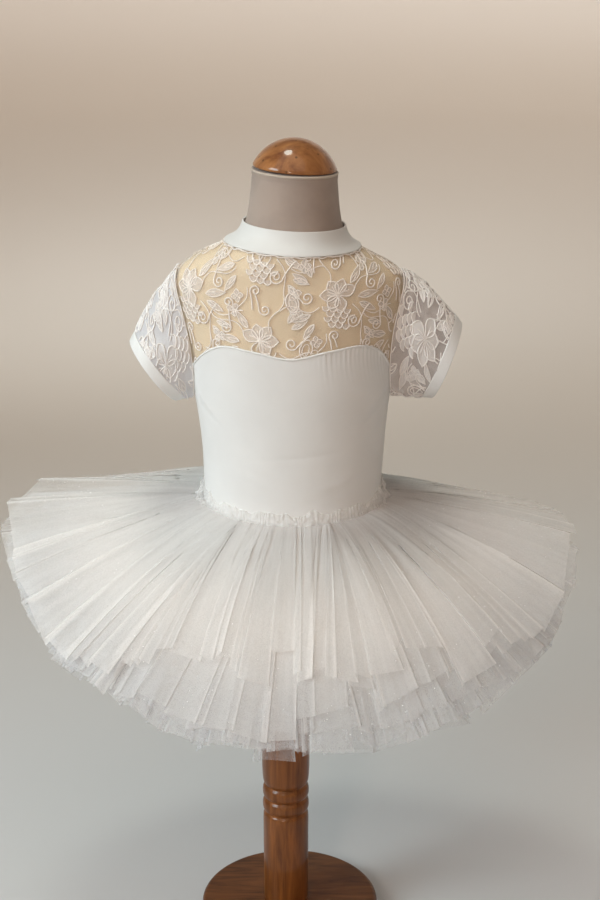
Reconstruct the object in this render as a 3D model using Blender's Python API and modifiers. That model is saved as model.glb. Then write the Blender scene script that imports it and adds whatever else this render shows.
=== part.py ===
"""Child's ballet tutu on a limbless dress form with a turned wooden stand.

Metres, +Z up. The origin is the centre of the stand's underside, X runs across the
shoulders and the wearer looks along -Y. Left and right are as seen from the front.
"""
import math

import bmesh
import bpy
from mathutils import Vector

# Stand.
BASE_RADIUS = 0.0955
BASE_HEIGHT = 0.025
POST_RADIUS = 0.0240
POST_MIDDLE = -0.004
POST_TOP = 0.3597
POST_BARREL = (
    # radius, height, above the grooves
    (0.0215, POST_TOP),
    (0.0225, 0.330),
    (0.0250, 0.245),
    (0.0254, 0.210),
    (0.0250, 0.178),
)
GROOVE_HEIGHTS = (0.133, 0.149, 0.165)
GROOVE_DEPTH = 0.0014
GROOVE_HALF_HEIGHT = 0.0022
BEAD_RADIUS = 0.0248
EASED_EDGE = 0.006
CAP_RADIUS = 0.0402
CAP_HEIGHT = 0.030

# Dress form: its level sections are ellipses.
SECTIONS = (
    # height, half width, half depth, middle
    (0.3600, 0.0820, 0.0660, 0.0020),
    (0.4000, 0.0920, 0.0750, 0.0025),
    (0.4400, 0.0925, 0.0755, 0.0030),
    (0.4980, 0.0870, 0.0665, 0.0036),
    (0.5400, 0.0880, 0.0675, 0.0044),
    (0.5720, 0.0905, 0.0700, 0.0042),
    (0.6080, 0.0950, 0.0730, 0.0034),
    (0.6400, 0.0990, 0.0740, 0.0026),
    (0.6700, 0.1040, 0.0725, 0.0018),
    (0.6950, 0.1085, 0.0695, 0.0014),
    (0.7130, 0.1100, 0.0665, 0.0012),
    (0.7250, 0.1060, 0.0645, 0.0015),
    (0.7350, 0.0930, 0.0630, 0.0022),
    (0.7440, 0.0745, 0.0610, 0.0033),
    (0.7520, 0.0595, 0.0570, 0.0045),
    (0.7610, 0.0505, 0.0500, 0.0052),
    (0.7720, 0.0462, 0.0460, 0.0056),
    (0.7900, 0.0430, 0.0430, 0.0059),
    (0.8220, 0.0402, 0.0402, 0.0062),
)
FORM_STEP = 0.018
NECK_TILT = math.radians(3.0)
TILT_START = 0.700
TILT_END = 0.760

# Cloth.
CLEAR = 0.0013
SEAM = 0.0003
JERSEY = 0.0012
LACE = 0.0010
BAND = 0.0018
TULLE = 0.0010

WAIST = 0.4985
WAIST_DIP = 0.008
HIP_YOKE_END = 0.4520
BACK_NECKLINE = 0.634
NECKLINE = (
    # share of the way across the front, height
    (0.00, 0.634),
    (0.10, 0.652),
    (0.22, 0.6635),
    (0.36, 0.6605),
    (0.50, 0.6547),
    (0.64, 0.6605),
    (0.80, 0.6635),
    (0.92, 0.653),
    (1.00, 0.632),
)
COLLAR_BOTTOM = 0.7500
COLLAR_TOP = 0.7710
COLLAR_STAND = 0.0006
SHOULDER_CROWDING = 1.4

# Armholes and sleeves.
ARMHOLE_HEIGHT = 0.6625
ARMHOLE_HALF_HEIGHT = 0.0635
ARMHOLE_HALF_DEPTH = 0.028
SLEEVE_SEAT = 0.0038
CUFF_WIDTH = 0.011
SLEEVES = (
    # name, side, mouth centre x, mouth centre z, mouth half height, lean from upright, puff
    ("left", -1, -0.1334, 0.6238, 0.0368, math.radians(37), 0.006),
    ("right", 1, 0.1557, 0.6338, 0.0391, math.radians(21), 0.005),
)
MOUTH_HALF_DEPTH = 0.031

# Gathered tulle, from the top layer down, each of a front and a back strip. The droop
# is measured from level.
LAYERS = (
    # droop in front, at the sides, behind, reach at the sides, reach in front
    (24.0, 8.0, 30.0, 0.202, 0.204),
    (26.5, 11.0, 31.5, 0.206, 0.208),
    (29.0, 14.0, 33.0, 0.206, 0.210),
    (31.5, 17.0, 34.5, 0.203, 0.212),
    (34.0, 20.0, 36.0, 0.199, 0.213),
    (36.0, 23.0, 37.5, 0.195, 0.213),
)
FRONT_BLEND = 2.6
BACK_BLEND = 2.0
TOP_LAYER_DIP = 0.005
LAYER_DROP = 0.006
LAYER_SEAT = 0.0010
RIGHT_DROOP = 4.5
RIGHT_REACH = 0.02
STRIP_PLEATS = 18
STRIP_END = 0.0005
PLEAT_HEIGHT = 0.0042
PLEAT_UNEVENNESS = 0.25
LAYER_SPRING = 0.7
FRILL_PLEATS = 24
FRILL_HEIGHT = 0.011
FRILL_DIP = 0.002
FRILL_FLARE = 0.0025
FRILL_FOLD = 0.003


def clear_scene():
    for item in list(bpy.data.objects):
        bpy.data.objects.remove(item, do_unlink=True)


def make_collection(name):
    collection = bpy.data.collections.new(name)
    bpy.context.scene.collection.children.link(collection)
    return collection


def make_material(name, colour, roughness, metallic=0.0):
    material = bpy.data.materials.new(name)
    material.use_nodes = True
    shader = material.node_tree.nodes["Principled BSDF"]
    shader.inputs["Base Color"].default_value = (*colour, 1.0)
    shader.inputs["Roughness"].default_value = roughness
    shader.inputs["Metallic"].default_value = metallic
    return material


def add_object(name, shape, collection, material):
    """Turn a bmesh into a named object with smooth faces and sharp corners."""
    mesh = bpy.data.meshes.new(name)
    shape.to_mesh(mesh)
    shape.free()
    mesh.materials.append(material)
    mesh.shade_smooth()
    mesh.set_sharp_from_angle(angle=math.radians(35))
    item = bpy.data.objects.new(name, mesh)
    collection.objects.link(item)
    return item


def along_table(table, place, column):
    """Read a smooth curve through one column of a table, by its first column."""
    place = min(max(place, table[0][0]), table[-1][0])
    last = len(table) - 2
    step = next((i for i in range(last) if place <= table[i + 1][0]), last)

    def slope(i):
        low, high = table[max(i - 1, 0)], table[min(i + 1, len(table) - 1)]
        return (high[column] - low[column]) / (high[0] - low[0])

    start, end = table[step], table[step + 1]
    span = end[0] - start[0]
    t = (place - start[0]) / span
    blend = t * t * (3 - 2 * t)
    value = start[column] * (1 - blend) + end[column] * blend
    value += span * slope(step) * t * (1 - t) ** 2
    value -= span * slope(step + 1) * t * t * (1 - t)
    return value


def smooth_step(low, high, value):
    t = min(max((value - low) / (high - low), 0.0), 1.0)
    return t * t * (3 - 2 * t)


def body_surface(turn, height):
    """A point of the dress form, by its angle round the form and its height."""
    across = along_table(SECTIONS, height, 1) * math.cos(turn)
    deep = along_table(SECTIONS, height, 2) * math.sin(turn)
    drop = math.tan(NECK_TILT) * smooth_step(TILT_START, TILT_END, height) * across
    return Vector((across + along_table(SECTIONS, height, 3), deep, height - drop))


def over_body(turn, height, clearance):
    """A point that stands off the dress form, square to its surface."""
    step = 0.001
    round_way = body_surface(turn + step, height) - body_surface(turn - step, height)
    up_way = body_surface(turn, height + step) - body_surface(turn, height - step)
    outward = round_way.cross(up_way).normalized()
    return body_surface(turn, height) + outward * clearance


def front_share(turn):
    """1 in front of the wearer, 0 at the sides and -1 behind."""
    return -math.sin(turn)


def waist_height(turn):
    return WAIST - WAIST_DIP * front_share(turn)


def armhole_depth(height):
    """How far the armhole, or else the seam's own gap, opens from the side line."""
    rise = (height - ARMHOLE_HEIGHT) / ARMHOLE_HALF_HEIGHT
    opening = ARMHOLE_HALF_DEPTH * math.cos(min(abs(rise), 1.0) * math.pi / 2)
    return max(opening, SEAM / 2 + 0.0001)


def panel_turn(share, height, front):
    """The angle at a share of the way across a front or back panel, edge to edge."""
    deep = along_table(SECTIONS, height, 2) + CLEAR
    edge = math.asin(armhole_depth(height) / deep)
    first_edge = math.pi if front else 0.0
    return first_edge + edge + share * (math.pi - 2 * edge)


def cloth(name, across, along, place, wall, collection, material, closed=False):
    """A grid of cloth laid by place(share across, share along).

    Its wall grows towards the side from which across, then along, turns anticlockwise:
    outwards on the body, inwards in a sleeve and downwards in the skirt.
    """
    shape = bmesh.new()
    bmesh.ops.create_grid(shape, x_segments=across, y_segments=along, size=0.5)
    for vertex in shape.verts:
        vertex.co = place(vertex.co.x + 0.5, vertex.co.y + 0.5)
    if closed:
        bmesh.ops.remove_doubles(shape, verts=shape.verts, dist=0.00001)
    bmesh.ops.triangulate(shape, faces=shape.faces, quad_method="SHORT_EDGE")
    item = add_object(name, shape, collection, material)
    solid = item.modifiers.new("wall", "SOLIDIFY")
    solid.thickness = wall
    solid.offset = 1.0
    return item


def turned(name, profile, steps, collection, material):
    """A turned piece: an outline from the axis at the top to the axis at the bottom."""
    shape = bmesh.new()
    corners = [shape.verts.new((radius, 0.0, height)) for radius, height in profile]
    for upper, lower in zip(corners, corners[1:]):
        shape.edges.new((upper, lower))
    mesh = bpy.data.meshes.new(name)
    shape.to_mesh(mesh)
    shape.free()
    mesh.materials.append(material)
    item = bpy.data.objects.new(name, mesh)
    collection.objects.link(item)
    screw = item.modifiers.new("turn", "SCREW")
    screw.steps = steps
    screw.render_steps = steps
    screw.use_merge_vertices = True
    screw.merge_threshold = 0.00001
    screw.use_smooth_shade = True
    return item


def arc(centre, radii, start, end, count):
    """Points of an elliptic arc in the plane of a turned outline, in degrees."""
    points = []
    for i in range(count + 1):
        angle = math.radians(start + (end - start) * i / count)
        points.append((centre[0] + radii[0] * math.cos(angle),
                       centre[1] + radii[1] * math.sin(angle)))
    return points


def make_base(collection, material):
    outline = [(0.0, BASE_HEIGHT)]
    middle = (BASE_RADIUS - EASED_EDGE, BASE_HEIGHT - EASED_EDGE)
    outline += arc(middle, (EASED_EDGE, EASED_EDGE), 90, 0, 4)
    outline += [(BASE_RADIUS, 0.002), (BASE_RADIUS - 0.002, 0.0), (0.0, 0.0)]
    return turned("base", outline, 48, collection, material)


def make_post(collection, material):
    foot = BASE_HEIGHT + SEAM
    outline = [(0.0, POST_TOP), *POST_BARREL]
    next_up = (*GROOVE_HEIGHTS[1:], None)
    for height, above in reversed(list(zip(GROOVE_HEIGHTS, next_up))):
        if above:
            outline.append((BEAD_RADIUS, (height + above) / 2))
        outline += [(POST_RADIUS, height + GROOVE_HALF_HEIGHT),
                    (POST_RADIUS - GROOVE_DEPTH, height),
                    (POST_RADIUS, height - GROOVE_HALF_HEIGHT)]
    outline += [(POST_RADIUS, foot), (0.0, foot)]
    post = turned("post", outline, 32, collection, material)
    post.location.x = POST_MIDDLE
    return post


def make_neck_cap(collection, material):
    dome = (CAP_RADIUS, CAP_HEIGHT - EASED_EDGE)
    outline = arc((0.0, EASED_EDGE), dome, 90, 0, 8)
    outline += [(CAP_RADIUS, 0.003), (CAP_RADIUS - 0.0012, 0.0), (0.0, 0.0)]
    cap = turned("neck_cap", outline, 36, collection, material)
    cap.location = (SECTIONS[-1][3], 0.0, SECTIONS[-1][0] + SEAM)
    cap.rotation_euler = (0.0, NECK_TILT, 0.0)
    return cap


def form_heights():
    """The heights of the form's rings: each section's own, and others between them."""
    heights = [SECTIONS[0][0]]
    for row in SECTIONS[1:]:
        low = heights[-1]
        steps = math.ceil((row[0] - low) / FORM_STEP)
        heights += [low + (row[0] - low) * (i + 1) / steps for i in range(steps)]
    return heights


def make_form(collection, material):
    heights = form_heights()
    across = 36
    along = len(heights) - 1
    shape = bmesh.new()
    bmesh.ops.create_grid(shape, x_segments=across, y_segments=along, size=0.5)
    for vertex in shape.verts:
        turn = (vertex.co.x + 0.5) * 2 * math.pi
        vertex.co = body_surface(turn, heights[round((vertex.co.y + 0.5) * along)])
    bmesh.ops.remove_doubles(shape, verts=shape.verts, dist=0.00001)
    rims = [edge for edge in shape.edges if edge.is_boundary]
    bmesh.ops.holes_fill(shape, edges=rims, sides=0)
    bmesh.ops.recalc_face_normals(shape, faces=shape.faces)
    bmesh.ops.triangulate(shape, faces=shape.faces, quad_method="SHORT_EDGE")
    return add_object("form_torso", shape, collection, material)


def make_bodice(collection, material):
    for name, front in (("bodice_front", True), ("bodice_back", False)):
        def place(share, rise, front=front):
            low = waist_height(panel_turn(share, WAIST, front))
            high = along_table(NECKLINE, share, 1) if front else BACK_NECKLINE
            height = low + (high - low) * rise
            return over_body(panel_turn(share, height, front), height, CLEAR)
        cloth(name, 18, 10, place, JERSEY, collection, material)


def make_yokes(collection, material):
    for name, front in (("yoke_front", True), ("yoke_back", False)):
        def place(share, rise, front=front):
            low = along_table(NECKLINE, share, 1) if front else BACK_NECKLINE
            low += 3 * SEAM
            high = COLLAR_BOTTOM - 2 * SEAM
            height = low + (high - low) * (1 - (1 - rise) ** SHOULDER_CROWDING)
            return over_body(panel_turn(share, height, front), height, CLEAR)
        cloth(name, 18, 12, place, LACE, collection, material)


def make_collar(collection, material):
    def place(share, rise):
        height = COLLAR_BOTTOM + (COLLAR_TOP - COLLAR_BOTTOM) * rise
        return over_body(share * 2 * math.pi, height, CLEAR + COLLAR_STAND * rise)
    cloth("collar", 36, 2, place, BAND, collection, material, closed=True)


def sleeve_point(sleeve, turn, way):
    """A point of a sleeve, from its armhole (way 0) to its open mouth (way 1)."""
    _, side, centre_x, centre_z, half_height, lean, puff = sleeve
    height = ARMHOLE_HEIGHT + ARMHOLE_HALF_HEIGHT * math.cos(turn)
    deep = ARMHOLE_HALF_DEPTH * math.sin(turn)
    body_turn = math.asin(deep / (along_table(SECTIONS, height, 2) + CLEAR))
    body_turn = body_turn if side > 0 else math.pi - body_turn
    seat = over_body(body_turn, height, SLEEVE_SEAT)
    up_way = Vector((side * math.sin(lean), 0.0, math.cos(lean)))
    spread = up_way * math.cos(turn) * half_height
    spread += Vector((0.0, MOUTH_HALF_DEPTH * math.sin(turn), 0.0))
    mouth = Vector((centre_x, 0.0, centre_z)) + spread
    swell = 4 * way * (1 - way) * puff * max(math.cos(turn), 0.0)
    return seat.lerp(mouth, way) + spread.normalized() * swell


def above_mouth(sleeve, turn, width):
    """The share of the way along the sleeve that lies a width above its mouth."""
    reach = (sleeve_point(sleeve, turn, 1.0) - sleeve_point(sleeve, turn, 0.0)).length
    return 1 - width / reach


def make_sleeves(collection, lace, jersey):
    for sleeve in SLEEVES:
        side = sleeve[1]

        def lace_place(share, way, sleeve=sleeve, side=side):
            turn = side * share * 2 * math.pi
            end = above_mouth(sleeve, turn, CUFF_WIDTH + 3 * SEAM)
            return sleeve_point(sleeve, turn, way * end)

        def cuff_place(share, way, sleeve=sleeve, side=side):
            turn = side * share * 2 * math.pi
            start = above_mouth(sleeve, turn, CUFF_WIDTH)
            return sleeve_point(sleeve, turn, start + (1 - start) * way)

        cloth("sleeve_" + sleeve[0], 20, 4, lace_place, LACE, collection, lace, True)
        cloth("cuff_" + sleeve[0], 20, 1, cuff_place, BAND, collection, jersey, True)


def make_hip_yoke(collection, material):
    def place(share, rise):
        turn = share * 2 * math.pi
        height = HIP_YOKE_END + (waist_height(turn) - 2 * SEAM - HIP_YOKE_END) * rise
        return over_body(turn, height, CLEAR)
    cloth("hip_yoke", 36, 4, place, JERSEY, collection, material, closed=True)


def make_frill(collection, material):
    """The gathered heading of the tulle, standing up round the waist."""
    seat = CLEAR + JERSEY + 2 * SEAM

    def place(share, rise):
        turn = share * 2 * math.pi
        height = waist_height(turn) - FRILL_DIP + FRILL_HEIGHT * rise
        fold = FRILL_FOLD * (0.5 + 0.5 * math.cos(share * FRILL_PLEATS * 2 * math.pi))
        return over_body(turn, height, seat + FRILL_FLARE * rise + fold * (0.4 + 0.6 * rise))
    cloth("waist_frill", 2 * FRILL_PLEATS, 2, place, TULLE, collection, material, closed=True)


def by_side(turn, front, side, back):
    """Blend a value from the front, through the sides, to the back of the skirt."""
    share = front_share(turn)
    if share > 0:
        return side + (front - side) * share ** FRONT_BLEND
    return side + (back - side) * (-share) ** BACK_BLEND


def make_tulle_layer(number, front, collection, material):
    """One strip of a layer, gathered to the waist from side seam to side seam."""
    front_droop, side_droop, back_droop, side_reach, front_reach = LAYERS[number]

    def place(share, way):
        turn = share * math.pi + (math.pi if front else 0.0)
        droop = by_side(turn, front_droop, side_droop, back_droop)
        bend = LAYER_SPRING + (1 - LAYER_SPRING) * way
        droop = math.radians(droop + RIGHT_DROOP * math.cos(turn)) * bend
        reach = by_side(turn, front_reach, side_reach, front_reach)
        reach *= 1 + RIGHT_REACH * math.cos(turn)
        height = waist_height(turn) - TOP_LAYER_DIP - LAYER_DROP * number
        start = over_body(turn, height, CLEAR + JERSEY + LAYER_SEAT)
        outward = Vector((math.cos(turn), math.sin(turn), 0.0))
        fold = math.cos(share * STRIP_PLEATS * 2 * math.pi)
        uneven = 1 - PLEAT_UNEVENNESS * (1 - math.sin(5 * turn + 1.7 * number))
        lift = PLEAT_HEIGHT * fold * uneven * way
        run = outward * (math.cos(droop) * reach * way)
        point = start + run + Vector((0.0, 0.0, lift - math.sin(droop) * reach * way))
        point.y = min(point.y, -STRIP_END) if front else max(point.y, STRIP_END)
        return point
    name = "tulle_layer_" + str(number + 1) + ("_front" if front else "_back")
    cloth(name, 2 * STRIP_PLEATS, 2, place, TULLE, collection, material)


def main():
    clear_scene()
    collection = make_collection("ballet_tutu")
    walnut = make_material("walnut_base", (0.085, 0.040, 0.022), 0.28)
    varnished = make_material("varnished_post", (0.26, 0.105, 0.040), 0.22)
    dome = make_material("varnished_cap", (0.30, 0.125, 0.045), 0.20)
    linen = make_material("form_linen", (0.53, 0.47, 0.40), 0.90)
    jersey = make_material("white_jersey", (0.86, 0.86, 0.86), 0.70)
    lace = make_material("white_lace", (0.84, 0.83, 0.81), 0.75)
    tulle = make_material("white_tulle", (0.85, 0.85, 0.88), 0.60)
    make_base(collection, walnut)
    make_post(collection, varnished)
    make_form(collection, linen)
    make_neck_cap(collection, dome)
    make_bodice(collection, jersey)
    make_yokes(collection, lace)
    make_collar(collection, jersey)
    make_sleeves(collection, lace, jersey)
    make_hip_yoke(collection, jersey)
    make_frill(collection, tulle)
    for number in range(len(LAYERS)):
        make_tulle_layer(number, True, collection, tulle)
        make_tulle_layer(number, False, collection, tulle)


main()
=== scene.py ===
"""Looks of a child's ballet tutu on a limbless dress form with a turned wooden stand.

Metres, in the frame's own axes: +Z up, X across the shoulders, and the wearer looks
along -Y. Left and right are as seen from the front.
"""
import math
import random

import bmesh
import bpy
from mathutils import Matrix, Vector


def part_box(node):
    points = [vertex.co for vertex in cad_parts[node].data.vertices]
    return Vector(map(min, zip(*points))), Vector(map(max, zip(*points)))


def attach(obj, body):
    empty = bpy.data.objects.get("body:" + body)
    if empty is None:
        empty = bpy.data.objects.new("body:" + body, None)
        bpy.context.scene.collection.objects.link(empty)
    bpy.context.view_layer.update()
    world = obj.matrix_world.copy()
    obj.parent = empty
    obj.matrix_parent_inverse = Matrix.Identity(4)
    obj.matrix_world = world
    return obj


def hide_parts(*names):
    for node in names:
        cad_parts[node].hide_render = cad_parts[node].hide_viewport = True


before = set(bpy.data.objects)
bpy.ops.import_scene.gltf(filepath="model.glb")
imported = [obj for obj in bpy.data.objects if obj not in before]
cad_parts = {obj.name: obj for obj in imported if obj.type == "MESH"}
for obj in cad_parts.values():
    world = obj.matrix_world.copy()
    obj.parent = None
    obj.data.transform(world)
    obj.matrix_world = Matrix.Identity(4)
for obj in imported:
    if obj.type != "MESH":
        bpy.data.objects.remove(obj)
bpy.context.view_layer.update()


# ------------------------------------------------------------------ foot of the stand
# A turned disc of dark walnut-brown wood with an eased upper edge, satin varnished.
# The post is screwed to its middle from below.
FOOT_EASE = 0.005
FOOT_CHAMFER = 0.0015
FOOT_FACETS = 128
WALNUT_DARK = (0.048, 0.015, 0.004)
WALNUT_LIGHT = (0.200, 0.070, 0.021)


def arc(centre, radii, start, end, count):
    """Points of an elliptic arc in the plane of a turned outline, in degrees."""
    points = []
    for i in range(count + 1):
        angle = math.radians(start + (end - start) * i / count)
        points.append((centre[0] + radii[0] * math.cos(angle),
                       centre[1] + radii[1] * math.sin(angle)))
    return points


def turned_shape(outline, steps):
    """Spin an outline of (radius, height) round the upright axis into a closed body."""
    shape = bmesh.new()
    corners = [shape.verts.new((radius, 0.0, height)) for radius, height in outline]
    sides = [shape.edges.new(pair) for pair in zip(corners, corners[1:])]
    bmesh.ops.spin(shape, geom=corners + sides, axis=(0, 0, 1), cent=(0, 0, 0),
                   angle=2 * math.pi, steps=steps, use_merge=True)
    bmesh.ops.remove_doubles(shape, verts=shape.verts, dist=0.00001)
    bmesh.ops.recalc_face_normals(shape, faces=shape.faces)
    return shape


def add_object(name, data):
    item = bpy.data.objects.new(name, data)
    bpy.context.scene.collection.objects.link(item)
    return item


def smooth_mesh(name, shape, material):
    """Turn a bmesh into a smooth mesh of one material."""
    mesh = bpy.data.meshes.new(name)
    shape.to_mesh(mesh)
    shape.free()
    mesh.materials.append(material)
    mesh.shade_smooth()
    return mesh


def show_piece(name, shape, material, nodes=(), crisp=35):
    """Turn a bmesh into a smooth piece that rides on the stand's one body."""
    mesh = smooth_mesh(name, shape, material)
    mesh.set_sharp_from_angle(angle=math.radians(crisp))
    piece = add_object(name, mesh)
    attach(piece, "root")
    if nodes:
        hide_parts(*nodes)
    return piece


def new_material(name):
    """A new material and its main shader."""
    material = bpy.data.materials.new(name)
    material.use_nodes = True
    return material, material.node_tree.nodes["Principled BSDF"]


def set_inputs(node, values):
    """Give a shader node's inputs plain values, or links from other nodes' outputs."""
    for entry, value in values.items():
        if isinstance(value, bpy.types.NodeSocket):
            node.id_data.links.new(value, node.inputs[entry])
        else:
            node.inputs[entry].default_value = value


def add_node(material, kind, output, values=(), **settings):
    """Add a shader node with its settings and inputs, and return one of its outputs."""
    node = material.node_tree.nodes.new("ShaderNode" + kind)
    for setting, value in settings.items():
        setattr(node, setting, value)
    set_inputs(node, dict(values))
    return node.outputs[output]


def two_tone(material, pattern, dark, light, low=0.3, high=0.7):
    """Turn a grey pattern into a blend of two colours."""
    blend = add_node(material, "ValToRGB", "Color", {"Fac": pattern})
    ends = blend.node.color_ramp.elements
    ends[0].position, ends[0].color = low, (*dark, 1.0)
    ends[1].position, ends[1].color = high, (*light, 1.0)
    return blend


def relief(material, pattern, height, strength):
    """Raise a grey pattern out of the surface by a height in metres."""
    return add_node(material, "Bump", "Normal",
                    {"Height": pattern, "Strength": strength, "Distance": height})


def varnished_wood(name, dark, light, grain, roughness, varnish, knocks=0.0):
    """Straight-grained wood under varnish; grain is the pattern's scale along each axis,
    and knocks is how dark its small knocks are."""
    material, shader = new_material(name)
    place = add_node(material, "TexCoord", "Object")
    stretch = add_node(material, "Mapping", "Vector", {"Vector": place, "Scale": grain})
    figure = add_node(material, "TexNoise", "Fac",
                      {"Vector": stretch, "Scale": 1.0, "Detail": 7.0, "Roughness": 0.62,
                       "Distortion": 0.8})
    spots = add_node(material, "TexVoronoi", "Distance", {"Vector": place, "Scale": 95.0})
    knock = add_node(material, "MapRange", "Result",
                     {"Value": spots, "From Min": 0.08, "From Max": 0.16,
                      "To Min": 1.0 - knocks, "To Max": 1.0})
    sound = two_tone(material, figure, dark, light, 0.28, 0.72)
    worn = add_node(material, "MixRGB", "Color",
                    {"Fac": 1.0, "Color1": sound, "Color2": knock}, blend_type="MULTIPLY")
    pores = add_node(material, "TexNoise", "Fac", {"Vector": stretch, "Scale": 6.0, "Detail": 3.0})
    set_inputs(shader, {"Base Color": worn, "Roughness": roughness, "Specular IOR Level": 0.15,
                        "Coat Weight": varnish, "Coat Roughness": 0.05,
                        "Normal": relief(material, pores, 0.0004, 0.12)})
    return material


foot_low, foot_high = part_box("base")
outline = [(0.0, foot_high.z)]
outline += arc((foot_high.x - FOOT_EASE, foot_high.z - FOOT_EASE),
               (FOOT_EASE, FOOT_EASE), 90, 0, 8)
outline += [(foot_high.x, foot_low.z + FOOT_CHAMFER),
            (foot_high.x - FOOT_CHAMFER, foot_low.z), (0.0, foot_low.z)]
walnut = varnished_wood("walnut_foot", WALNUT_DARK, WALNUT_LIGHT, grain=(14, 90, 60),
                        roughness=0.45, varnish=0.15)
show_piece("foot", turned_shape(outline, FOOT_FACETS), walnut, ["base"])


# ------------------------------------------------------------------------------- post
# A post of orange-brown hardwood, turned, with two beads between three cut grooves, a
# long round barrel above them and a plain shaft below. Glossy varnish.
POST_OUTLINE = (
    # height, radius, down from the form
    (0.3597, 0.0215),
    (0.3300, 0.0225),
    (0.2900, 0.0238),
    (0.2450, 0.0250),
    (0.2100, 0.0254),
    (0.1860, 0.0253),
    (0.1760, 0.0249),
    (0.1700, 0.0243),
)
SHAFT_OUTLINE = (
    # height, radius, below the grooves
    (0.1290, 0.0240),
    (0.1230, 0.0244),
    (0.1100, 0.0243),
    (0.0700, 0.0241),
    (0.0300, 0.0240),
    (0.0253, 0.0236),
)
GROOVE_HEIGHTS = (0.165, 0.149, 0.133)
GROOVE_RADIUS = 0.0216
GROOVE_HALF_WIDTH = 0.0018
GROOVE_FLOOR = 0.0004
GROOVE_LIP = 0.0231
BEAD_RADIUS = 0.0248
BEAD_HALF_HEIGHT = 0.0059
POST_DARK = (0.080, 0.025, 0.007)
POST_LIGHT = (0.300, 0.100, 0.024)

post_low, post_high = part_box("post")
outline = [(0.0, POST_OUTLINE[0][0])] + [(radius, height) for height, radius in POST_OUTLINE]
for number, height in enumerate(GROOVE_HEIGHTS):
    outline += [(GROOVE_LIP, height + GROOVE_HALF_WIDTH), (GROOVE_RADIUS, height + GROOVE_FLOOR),
                (GROOVE_RADIUS, height - GROOVE_FLOOR), (GROOVE_LIP, height - GROOVE_HALF_WIDTH)]
    if height != GROOVE_HEIGHTS[-1]:
        middle = (height + GROOVE_HEIGHTS[number + 1]) / 2
        bead = (BEAD_RADIUS - GROOVE_LIP, BEAD_HALF_HEIGHT)
        outline += arc((GROOVE_LIP, middle), bead, 75, -75, 8)
outline += [(radius, height) for height, radius in SHAFT_OUTLINE]
outline.append((0.0, SHAFT_OUTLINE[-1][0]))
shape = turned_shape(outline, 96)
bmesh.ops.translate(shape, verts=shape.verts, vec=((post_low.x + post_high.x) / 2, 0, 0))
post_wood = varnished_wood("varnished_post", POST_DARK, POST_LIGHT, grain=(110, 110, 9),
                           roughness=0.35, varnish=0.45)
show_piece("turned_post", shape, post_wood, ["post"], crisp=60)


# ------------------------------------------------------------------------- dress form
# A limbless torso with its neck, in a smooth close cover: cream cloth on the body and a
# greyer band round the neck, which ends in a turned hem under the wooden cap.
SECTIONS = (
    # height, half width, half depth, middle
    (0.3600, 0.0820, 0.0660, 0.0020),
    (0.4000, 0.0920, 0.0750, 0.0025),
    (0.4400, 0.0925, 0.0755, 0.0030),
    (0.4980, 0.0870, 0.0665, 0.0036),
    (0.5400, 0.0880, 0.0675, 0.0044),
    (0.5720, 0.0905, 0.0700, 0.0042),
    (0.6080, 0.0950, 0.0730, 0.0034),
    (0.6400, 0.0990, 0.0740, 0.0026),
    (0.6700, 0.1040, 0.0725, 0.0018),
    (0.6950, 0.1085, 0.0695, 0.0014),
    (0.7130, 0.1100, 0.0665, 0.0012),
    (0.7250, 0.1060, 0.0645, 0.0015),
    (0.7350, 0.0930, 0.0630, 0.0022),
    (0.7440, 0.0745, 0.0610, 0.0033),
    (0.7520, 0.0595, 0.0570, 0.0045),
    (0.7610, 0.0505, 0.0500, 0.0052),
    (0.7720, 0.0462, 0.0460, 0.0056),
    (0.7900, 0.0430, 0.0430, 0.0059),
    (0.8220, 0.0402, 0.0402, 0.0062),
)
NECK_TILT = math.radians(3.0)
TILT_START = 0.700
TILT_END = 0.760
NECK_START = 0.7560
FORM_CREAM = (0.835, 0.675, 0.460)
NECK_TAUPE = (0.420, 0.335, 0.285)
HEM_CREAM = (0.560, 0.470, 0.390)
NECK_COVER = 0.0002
NECK_HEM_LIFT = 0.0006
NECK_HEM_HEIGHT = 0.8206
NECK_HEM_RADIUS = 0.0012


def along_table(table, place, column):
    """Read a smooth curve through one column of a table, by its first column."""
    place = min(max(place, table[0][0]), table[-1][0])
    last = len(table) - 2
    step = next((i for i in range(last) if place <= table[i + 1][0]), last)

    def slope(i):
        low, high = table[max(i - 1, 0)], table[min(i + 1, len(table) - 1)]
        return (high[column] - low[column]) / (high[0] - low[0])

    start, end = table[step], table[step + 1]
    span = end[0] - start[0]
    t = (place - start[0]) / span
    blend = t * t * (3 - 2 * t)
    value = start[column] * (1 - blend) + end[column] * blend
    value += span * slope(step) * t * (1 - t) ** 2
    value -= span * slope(step + 1) * t * t * (1 - t)
    return value


def smooth_step(low, high, value):
    t = min(max((value - low) / (high - low), 0.0), 1.0)
    return t * t * (3 - 2 * t)


def body_surface(turn, height):
    """A point of the dress form, by its angle round the form and its height."""
    across = along_table(SECTIONS, height, 1) * math.cos(turn)
    deep = along_table(SECTIONS, height, 2) * math.sin(turn)
    drop = math.tan(NECK_TILT) * smooth_step(TILT_START, TILT_END, height) * across
    return Vector((across + along_table(SECTIONS, height, 3), deep, height - drop))


def over_body(turn, height, clearance):
    """A point that stands off the dress form, square to its surface."""
    step = 0.001
    round_way = body_surface(turn + step, height) - body_surface(turn - step, height)
    up_way = body_surface(turn, height + step) - body_surface(turn, height - step)
    outward = round_way.cross(up_way).normalized()
    return body_surface(turn, height) + outward * clearance


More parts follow.
